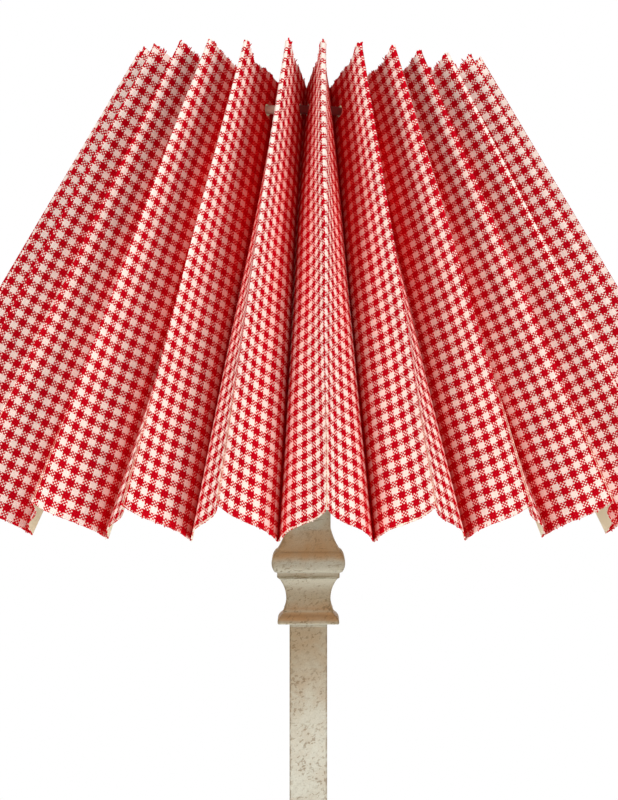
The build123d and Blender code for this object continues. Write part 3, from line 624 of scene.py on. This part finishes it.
# Turn of the folds away from even spacing, by ridge counted from the front one, with a wander where it is loose
FRONT_TOP_TURN = {-5: 0.6, -4: 2.8, -3: 2.9, -2: 3.4, -1: 4.3, 0: 2.4, 1: 1.2, 2: -0.3, 3: -3.5, 4: -3.6}
LOOSE_TOP_TURN = [(-14, 5.6), (-10, 4.7), (-7, 3.4), (-4, 2.8), (4, -3.6), (6, -2.0), (9, 1.4), (12, 4.6),
                  (14, 5.6)]
LOOSE_HEM_SHARE = 0.3
TOP_WANDER = 0.5
HEM_WANDER = 0.6
HEM_TURN = {-3: 0.8, -2: 0.9, -1: -0.1, 0: 0.0, 1: 0.2, 2: -0.3}
# The same at the hem of the valleys, by the ridge after the valley
HEM_VALLEY_TURN = {-3: -0.6, -2: 0.8, -1: 0.7, 0: 0.1, 1: 0.4, 2: 0.8, 3: 0.7, 4: 0.8}
# How far the hem is lifted at a ridge
HEM_LIFT = {-1: 1.5}
# How far the cut top edge lies below the even one, by angle from the front
TOP_CUT = [(-180, 1.6), (-135, 1.0), (-90, 0.9), (-60, 0.4), (-35, 0.6), (-20, 2.0), (0, 2.0), (17, 3.1),
           (28, 4.0), (40, 5.4), (60, 5.4), (90, 4.2), (135, 2.8), (180, 1.6)]
# How far the ridges stand in from the even cone at the top and at the hem, by angle from the front
RIDGE_IN = [(-180, 1.6, 0.0), (-120, 2.4, 0.6), (-85, 3.0, 1.0), (-50, 2.2, 0.5), (-25, 1.6, 0.0),
            (25, 1.6, 0.0), (50, 2.4, 0.0), (85, 2.3, -1.4), (120, 2.0, -0.6), (180, 1.6, 0.0)]
# How far a fold as a whole stands in or out at random, at most
STRETCH = 0.5

# Swell of a panel: the nose beside its ridge, and the two halves of its S
NOSE = 6.2
VALLEY_SWELL = 2.15
VALLEY_HOLLOW = 0.2
RIDGE_SWELL = 1.7
# Sideways wander of a fold, ripple of a panel with its length, and depth and reach of a crease
SWAY = 0.8
RIPPLE = 0.6
RIPPLE_LENGTH = 62.0
CREASE = 0.25
CREASE_REACH = 0.9

# Each strip with its letter, its first panel and where its check starts across and down, and the check's slant
STRIPS = (("a", 0, 6.85, 63.45), ("b", PLEATS, 5.875, 61.55))
SKEW = 0.024
# How far the check lies off its even place beside a ridge, across and down, and at most where none is given
RIDGE_SLIP = {-3: (-3.7, -0.7), -2: (-2.3, -0.9), -1: (-1.7, 0.3), 0: (0.0, 0.0), 1: (0.8, 1.3),
              2: (2.9, -1.3), 3: (2.5, -0.9)}
LOOSE_SLIP = (1.5, 1.0)
# The same across on the panel right of the front ridge
CREST_SLIP = 2.8
# The grain of the left half leans by this share of the distance from the hem
LEAN = 0.019
# Share by which the check closes up towards the top, and its growth per millimetre from the hem
CLOSING = 0.032
CLOSING_GROWTH = 0.00015

# Worn notch beside each ridge tip: its depth by angle from the front, the panel with a deeper one, its middle
# and width across, and how far down it is felt
NOTCH_DEPTH = [(-180, 1.0), (-60, 0.6), (-32, 0.0), (-22, 2.4), (60, 2.4), (90, 2.0), (180, 1.0)]
DEEP_NOTCH = {-3: 4.2}
NOTCH_MIDDLE = 12.5
NOTCH_WIDTH = 8.0
NOTCH_REACH = 14.0
# How far the hem is trimmed, and how ragged its cut is
HEM_TRIM = 0.25
HEM_RAGGED = 0.4

# Grid of a panel, close together at its folds, round its hole and at its cut edge
ACROSS = [0.0, 0.35, 0.9, 2.3, 4.1, 5.4, 6.7, EYE_ACROSS, 9.3, 10.6, 11.9, 14.5, 17.5, 20.5, 23.5, 26.5, 29.3,
          31.8, 33.8, 35.4, 36.5, 37.25, 37.7, 37.92, WIDTH]
EVEN_FROM = 25.5
EVEN_STEPS = 30
ALONG = [0.0, 1.2, 3.5, 7.0, 11.0, 14.1, 15.4, 16.7, EYE_DOWN, 19.3, 20.6, 21.9]
ALONG += [EVEN_FROM + (FOLD - EVEN_FROM) * step / EVEN_STEPS for step in range(EVEN_STEPS + 1)]
EYE_COLUMN = ACROSS.index(EYE_ACROSS)
EYE_ROW = ALONG.index(EYE_DOWN)
NO_EYE = 99

# Starts of the random draws
RIDGE_SEED = 1700
FOLD_SEED = 4100
SLIP_SEED = 2600
FRAY_SEED = 900
HEM_FRAY_SEED = 907


def centred(value, count):
    """A number on a round of so many, counted from half a round before the front to half a round after it."""
    return (value + count // 2) % count - count // 2


def between(table, value, column=1):
    """Straight interpolation in a column of a table that is ordered by its first one."""
    for low, high in zip(table, table[1:]):
        if low[0] <= value <= high[0]:
            return low[column] + (high[column] - low[column]) * (value - low[0]) / (high[0] - low[0])
    return table[-1][column]


def ridge_turns(ridge):
    """Turn of a ridge at its top and at its hem, each with a small seeded wander where nothing is given."""
    ridge = centred(ridge, PLEATS)
    wander = random.Random(RIDGE_SEED + ridge)
    loose_turn = between(LOOSE_TOP_TURN, ridge)
    at_top = loose_turn + wander.uniform(-TOP_WANDER, TOP_WANDER)
    at_hem = LOOSE_HEM_SHARE * loose_turn + wander.uniform(-HEM_WANDER, HEM_WANDER)
    return FRONT_TOP_TURN.get(ridge, at_top), HEM_TURN.get(ridge, at_hem)


def fold_ends(fold):
    """Top and hem end of a fold, valleys even and ridges odd, the front ridge being fold 1."""
    number = centred(fold // 2, PLEATS)
    even = FRONT_RIDGE + (fold - 1) * HALF_PITCH
    side = centred(even, 360.0)
    stretch = random.Random(FOLD_SEED + fold).uniform(-STRETCH, STRETCH)
    if fold % 2:
        turn_top, turn_hem = ridge_turns(number)
        (top_r, top_z), (hem_r, hem_z) = RIDGE_TOP, RIDGE_HEM
        top_r -= between(RIDGE_IN, side, 1)
        hem_r -= between(RIDGE_IN, side, 2)
        lift = HEM_LIFT.get(number, 0.0)
    else:
        before, after = ridge_turns(number - 1), ridge_turns(number)
        turn_top = (before[0] + after[0]) / 2
        turn_hem = HEM_VALLEY_TURN.get(number, (before[1] + after[1]) / 2)
        (top_r, top_z), (hem_r, hem_z) = VALLEY_TOP, VALLEY_HEM
        lift = 0.0
    cut = between(TOP_CUT, side) / (top_z - hem_z)
    top_r, top_z = top_r + (hem_r - top_r) * cut + stretch, top_z + (hem_z - top_z) * cut
    ends = []
    for radius, height, turn in ((top_r, top_z, turn_top), (hem_r + stretch, hem_z + lift, turn_hem)):
        angle = math.radians(even + turn - 90.0)
        ends.append(Vector((radius * math.cos(angle), radius * math.sin(angle), height)))
    return ends


fold_lines = [fold_ends(fold) for fold in range(2 * PLEATS)]


def fold_point(fold, drop):
    """Point on a fold, which wanders a little sideways between its ends."""
    fold %= 2 * PLEATS
    top, hem = fold_lines[fold]
    spot = top.lerp(hem, drop)
    sway = SWAY * noise.noise(Vector((fold * 5.1, drop * 3.2, 7.7))) * math.sin(math.pi * drop)
    return spot + Vector((-spot.y, spot.x, 0.0)).normalized() * sway


def panel_swell(share, drop):
    """Swell of a panel from its valley (0) to its ridge (1): a round nose at the top, an S at the hem."""
    fade = drop * drop * (3.0 - 2.0 * drop)
    nose = NOSE * share**6 * math.sqrt(max(0.0, 1.0 - share)) * (1.0 - fade) ** 1.2
    lobe = math.sin(2 * math.pi * share)
    if share < 0.5:
        return nose + lobe * (VALLEY_SWELL * drop**0.6 - VALLEY_HOLLOW)
    return nose + lobe * RIDGE_SWELL * drop**2.2


def cloth_point(panel, across, along):
    """Point of the cloth: a panel, the distance from its first fold and the distance down from its top."""
    share = across / WIDTH
    drop = along / FOLD
    left = fold_point(panel, drop)
    right = fold_point(panel + 1, drop)
    spot = left.lerp(right, share)
    top, hem = fold_lines[panel % (2 * PLEATS)]
    square = (right - left).cross(hem - top).normalized()
    outward = Vector((spot.x, spot.y, 0.0)).normalized()
    if square.dot(outward) < 0:
        square = -square
    from_valley = panel % 2 == 0
    swell = panel_swell(share if from_valley else 1.0 - share, drop)
    ripple = noise.noise(Vector((share * 1.4 + panel * 3.7, along / RIPPLE_LENGTH, 0.3)))
    ripple *= RIPPLE * math.sin(math.pi * share)
    spot = spot + square * (swell + ripple)
    near = min(across, WIDTH - across)
    crease = max(0.0, 1.0 - near / CREASE_REACH) ** 2 * CREASE
    at_valley = (across < WIDTH / 2) == from_valley
    return spot + outward * (crease if at_valley else -crease)


def weave_slip(panel):
    """How far the check lies off its even place on a panel, as each fold takes up a little cloth."""
    panel = centred(panel, 2 * PLEATS)
    if panel == 1:
        return CREST_SLIP, 0.0
    wander = random.Random(SLIP_SEED + panel // 2)
    loose = tuple(wander.uniform(-most, most) for most in LOOSE_SLIP)
    return RIDGE_SLIP.get(panel // 2, loose)


def grain_shift(panel, along):
    """How far the check lies across and down at a distance from the top, as it leans and closes up."""
    panel = centred(panel, 2 * PLEATS)
    rise = FOLD - along
    closing = CLOSING + CLOSING_GROWTH * rise
    return (LEAN * rise if panel < 1 else 0.0), -closing * rise


def ridge_distance(panel, across):
    """Distance on a panel from its ridge."""
    return across if panel % 2 else WIDTH - across


def worn_notch(panel, across):
    """How far the cut edge is worn down beside the tip of a ridge."""
    panel = centred(panel, 2 * PLEATS)
    side = FRONT_RIDGE + 2 * HALF_PITCH * (panel // 2)
    depth = DEEP_NOTCH.get(panel, between(NOTCH_DEPTH, side))
    return depth * math.exp(-(((ridge_distance(panel, across) - NOTCH_MIDDLE) / NOTCH_WIDTH) ** 2))


def eye_across(panel):
    """Distance of a panel's punched hole from the panel's first fold."""
    return EYE_ACROSS if panel % 2 == 0 else WIDTH - EYE_ACROSS


def strip_columns(first_panel, panels):
    """Columns of a strip's grid: the panel, the distance across it and the steps from its hole."""
    columns = []
    for panel in range(first_panel, first_panel + panels):
        even = panel % 2 == 0
        steps = ACROSS if even else [WIDTH - value for value in reversed(ACROSS)]
        eye = EYE_COLUMN if even else len(ACROSS) - 1 - EYE_COLUMN
        columns += [(panel, value, index - eye) for index, value in enumerate(steps[:-1])]
    columns.append((first_panel + panels - 1, WIDTH, NO_EYE))
    return columns


def grid_place(panel, across, from_eye, row):
    """Place of a grid point on its panel, with the edges worn and the points round the hole in a circle."""
    drop = ALONG[row]
    down = drop
    if drop < NOTCH_REACH:
        down += worn_notch(panel, across) * (1.0 - drop / NOTCH_REACH) ** 2
    if drop == FOLD:
        down -= HEM_TRIM + HEM_RAGGED * noise.noise(Vector((panel * 7.3, across * 0.55, 2.2)))
    below_eye = row - EYE_ROW
    if max(abs(from_eye), abs(below_eye)) == EYE_STEPS:
        reach = math.hypot(from_eye, below_eye)
        across = eye_across(panel) + EYE_RADIUS * from_eye / reach
        down = EYE_DOWN + EYE_RADIUS * below_eye / reach
    return across, down


def pleated_strip(name, first_panel, panels, weave_start, weave_drop):
    """One strip of folded cloth with its holes, laid out flat on its own maps and given its thickness."""
    columns = strip_columns(first_panel, panels)
    rows = len(ALONG)
    points, flat = [], []
    for panel, across, from_eye in columns:
        for row in range(rows):
            over, down = grid_place(panel, across, from_eye, row)
            points.append(cloth_point(panel, over, down) * MM)
            flat.append((((panel - first_panel) * WIDTH + over) * MM, down * MM))
    faces, owners = [], []
    for column, (panel, _, from_eye) in enumerate(columns[:-1]):
        for row in range(rows - 1):
            if -EYE_STEPS <= from_eye < EYE_STEPS and -EYE_STEPS <= row - EYE_ROW < EYE_STEPS:
                continue
            corner = column * rows + row
            faces.append((corner, corner + 1, corner + rows + 1, corner + rows))
            owners.append(panel)
    mesh = new_mesh(name, points, faces, gingham, lining, raw_edge)
    laid = mesh.uv_layers.new(name="cloth")
    weave = mesh.uv_layers.new(name="weave")
    for face, panel in zip(mesh.polygons, owners):
        slip_across, slip_down = weave_slip(panel)
        for index in face.loop_indices:
            u, v = flat[mesh.loops[index].vertex_index]
            laid.data[index].uv = (u, v)
            lean, close = grain_shift(panel, v / MM)
            across = u + (weave_start + slip_across + lean) * MM
            weave.data[index].uv = (across, v - SKEW * u + (weave_drop + slip_down + close) * MM)
    work = bmesh.new()
    work.from_mesh(mesh)
    bmesh.ops.delete(work, geom=[v for v in work.verts if not v.link_faces], context="VERTS")
    work.to_mesh(mesh)
    work.free()
    strip = add_piece(name, mesh)
    wall = strip.modifiers.new("laminate", "SOLIDIFY")
    wall.thickness = CLOTH * MM
    wall.offset = -1.0
    wall.material_offset = 1
    wall.material_offset_rim = 2
    bpy.ops.object.modifier_apply(modifier=wall.name)
    bpy.ops.object.shade_smooth_by_angle(angle=math.radians(32.0))
    return strip


# Loose yarn ends, in millimetres

# Reach of the tuft on a ridge's tip, bare margin of a strip, line of the hem, and the root of an end in the
# cloth, with its length and how far it lies under the face
TUFT = 3.2
STRIP_MARGIN = 0.4
HEM_LINE = FOLD - 0.3
ROOT = 1.0
SINK = 0.22
SPOKES = 5
# Radii along an end, how loosely it hangs, and its growth in a red stripe, with the share of that in a tuft
TUFT_GIRTHS = (0.3, 0.36, 0.46, 0.34)
PLAIN_GIRTHS = (0.28, 0.3, 0.3, 0.16)
TUFT_LOOSE = 0.8
PLAIN_LOOSE = 0.6
RED_GROWTH = (0.3, 0.9)
TUFT_GROWTH_SHARE = 0.4
# Where along its free length an end bends, and how far its lean and its curl carry it
BEND = 0.55
LEAN_CARRY = 0.7
CURL_CARRY = 0.35
# Half of the step along the edge over which its direction is taken
EDGE_STEP = 0.3
# Share of the ends that are short, and of the ends in a cream stripe that are red all the same
SHORT_SHARE = 0.88
STRAY_RED = 0.35


def mostly(chance, short, long):
    """A length from the short range for most ends, and from the long range for the rest."""
    return chance.uniform(*(short if chance.random() < SHORT_SHARE else long))


def end_length(chance, from_ridge, at_hem):
    """Length of a loose yarn end: tufts on the ridges' tips, short ends between them, few at the hem."""
    if at_hem:
        return mostly(chance, (0.0, 0.3), (0.3, 0.9))
    if from_ridge < TUFT:
        return chance.uniform(0.3, 1.1)
    return mostly(chance, (0.1, 0.7), (0.7, 1.5))


def edge_frame(panel, across, edge_drop, inward):
    """Root of a yarn end at a cut edge, with the ways along the yarn, along the edge and out of the cloth."""
    foot = cloth_point(panel, across, edge_drop + inward)
    edge = cloth_point(panel, across, edge_drop)
    side = cloth_point(panel, min(across + EDGE_STEP, WIDTH), edge_drop)
    side -= cloth_point(panel, max(across - EDGE_STEP, 0.0), edge_drop)
    rise = (edge - foot).normalized()
    side = (side - rise * side.dot(rise)).normalized()
    face_out = rise.cross(side).normalized()
    if face_out.dot(Vector((edge.x, edge.y, 0.0))) < 0:
        face_out = -face_out
    return foot - face_out * SINK, rise, side, face_out


def frayed_edge(name, first_panel, panels, weave_start, at_hem):
    """Loose yarn ends along a cut edge, one to a warp yarn, each a short bent tube."""
    chance = random.Random((HEM_FRAY_SEED if at_hem else FRAY_SEED) + first_panel)
    step = YARN / MM
    total = panels * WIDTH
    reaches = [(index + 0.5) * step - weave_start % step for index in range(int(total / step) + 2)]
    points, faces, finishes = [], [], []
    for reach in reaches:
        if not STRIP_MARGIN <= reach <= total - STRIP_MARGIN:
            continue
        panel = first_panel + int(reach // WIDTH)
        across = reach % WIDTH
        edge_drop = HEM_LINE if at_hem else worn_notch(panel, across)
        lean_across = grain_shift(panel, edge_drop)[0]
        yarn = math.floor((reach + weave_start + weave_slip(panel)[0] + lean_across) / step)
        in_red = yarn % YARNS < YARNS / 2
        red = in_red or chance.random() < STRAY_RED
        root, rise, side, face_out = edge_frame(panel, across, edge_drop, -ROOT if at_hem else ROOT)
        from_ridge = ridge_distance(panel, across)
        tuft = from_ridge < TUFT and not at_hem
        length = end_length(chance, from_ridge, at_hem)
        if in_red and not at_hem:
            length += chance.uniform(*RED_GROWTH) * (TUFT_GROWTH_SHARE if tuft else 1.0)
        loose = TUFT_LOOSE if tuft else PLAIN_LOOSE
        lean = chance.uniform(-loose, loose)
        curl = chance.uniform(-loose, loose)
        first = len(points)
        known = len(faces)
        girths = TUFT_GIRTHS if tuft else PLAIN_GIRTHS
        for girth, along in zip(girths, (0.0, ROOT, ROOT + BEND * length, ROOT + length)):
            out = max(0.0, along - ROOT)
            middle = root + rise * along + side * (lean * out * LEAN_CARRY)
            middle += face_out * (curl * out * out * CURL_CARRY)
            points += ring_points(middle, side, face_out, [girth] * SPOKES)
        last = len(points) - SPOKES
        for low in range(first, last, SPOKES):
            faces += ring_faces(low, low + SPOKES, SPOKES)
        faces.append(tuple(first + spoke for spoke in reversed(range(SPOKES))))
        faces.append(tuple(last + spoke for spoke in range(SPOKES)))
        finishes += [0 if red else 1] * (len(faces) - known)
    mesh = new_mesh(name, points, faces, red_end, cream_end)
    mesh.polygons.foreach_set("material_index", finishes)
    fray = add_piece(name, mesh)
    face_outward()
    bpy.ops.object.shade_smooth_by_angle(angle=math.radians(50.0))
    return fray


for letter, first, start, fall in STRIPS:
    cloth = pleated_strip("shade_cloth_" + letter, first, PLEATS, start, fall)
    stands_for(cloth, "shade", "gingham", "shade_strip_" + letter)
    fray = stands_for(frayed_edge("shade_fray_" + letter, first, PLEATS, start, False), "shade", "gingham")
    wisps = stands_for(frayed_edge("shade_wisps_" + letter, first, PLEATS, start, True), "shade", "gingham")


# Drawstring, in millimetres: radius, length of a twist, share of the radius in the strands, and the knot

CORD = 2.15
LAY = 13.0
STRAND_BASE = 0.82
STRAND_RISE = 0.18
KNOT_SWELL = 0.6
KNOT_REACH = 2.6
CORD_SPOKES = 18


def cord_route(stops):
    """Points along a smooth closed line past the given stops."""
    curve = bpy.data.curves.new("drawstring_route", "CURVE")
    curve.dimensions = "3D"
    spline = curve.splines.new("NURBS")
    spline.points.add(len(stops) - 1)
    for point, stop in zip(spline.points, stops):
        point.co = (*stop, 1.0)
    spline.use_cyclic_u = True
    spline.order_u = 3
    spline.resolution_u = 6
    guide = bpy.data.objects.new("drawstring_route", curve)
    line = bpy.data.meshes.new_from_object(guide)
    route = [vertex.co.copy() for vertex in line.vertices]
    bpy.data.objects.remove(guide)
    bpy.data.curves.remove(curve)
    bpy.data.meshes.remove(line)
    return route


def drawstring():
    """Three-strand cord through the middles of all the punched holes, with a knot behind."""
    stops = [cloth_point(panel, eye_across(panel), EYE_DOWN) for panel in range(2 * PLEATS)]
    route = cord_route(stops)
    length = sum((b - a).length for a, b in zip(route, route[1:] + route[:1]))
    turns = round(length / LAY)
    knot = (stops[PLEATS] + stops[PLEATS + 1]) / 2
    points, faces = [], []
    gone = 0.0
    for index, spot in enumerate(route):
        after = (index + 1) % len(route)
        ahead = route[after]
        tangent = (ahead - route[index - 1]).normalized()
        side = Vector((spot.x, spot.y, 0.0)).normalized()
        up = tangent.cross(side).normalized()
        side = up.cross(tangent).normalized()
        swell = 1.0 + KNOT_SWELL * math.exp(-((spot - knot).length / KNOT_REACH) ** 2)
        radii = []
        for spoke in range(CORD_SPOKES):
            angle = 2 * math.pi * spoke / CORD_SPOKES
            lobe = abs(math.cos(1.5 * angle - math.pi * turns * gone / length))
            radii.append(CORD * swell * (STRAND_BASE + STRAND_RISE * lobe))
        points += ring_points(spot, side, up, radii)
        faces += ring_faces(index * CORD_SPOKES, after * CORD_SPOKES, CORD_SPOKES)
        gone += (ahead - spot).length
    cord = add_piece("shade_drawstring", new_mesh("shade_drawstring", points, faces, cotton_finish))
    face_outward()
    bpy.ops.object.shade_smooth()
    return cord


stands_for(drawstring(), "shade", "cotton_cord", "drawstring")


# Wooden stand

# How far the arrises of each piece are rubbed round, in millimetres
RUBBED = {"capital": 0.35, "shaft": 0.3, "base_moulding": 0.6, "plinth": 0.8}


def worn_copy(node, width):
    """The wooden piece with its arrises rubbed round."""
    piece = add_piece("worn_" + node, nodes[node].data.copy())
    bpy.ops.object.mode_set(mode="EDIT")
    bpy.ops.mesh.select_all(action="SELECT")
    bpy.ops.mesh.remove_doubles(threshold=0.00001)
    bpy.ops.mesh.dissolve_limited(angle_limit=math.radians(0.5))
    bpy.ops.object.mode_set(mode="OBJECT")
    rounding = piece.modifiers.new("rubbed_arris", "BEVEL")
    rounding.width = width * MM
    rounding.segments = 3
    rounding.limit_method = "ANGLE"
    rounding.angle_limit = math.radians(28.0)
    rounding.harden_normals = False
    bpy.ops.object.modifier_apply(modifier=rounding.name)
    bpy.ops.object.shade_smooth_by_angle(angle=math.radians(38.0))
    return stands_for(piece, "stand", "whitewashed_wood", node)


for wooden, width in RUBBED.items():
    worn_copy(wooden, width)
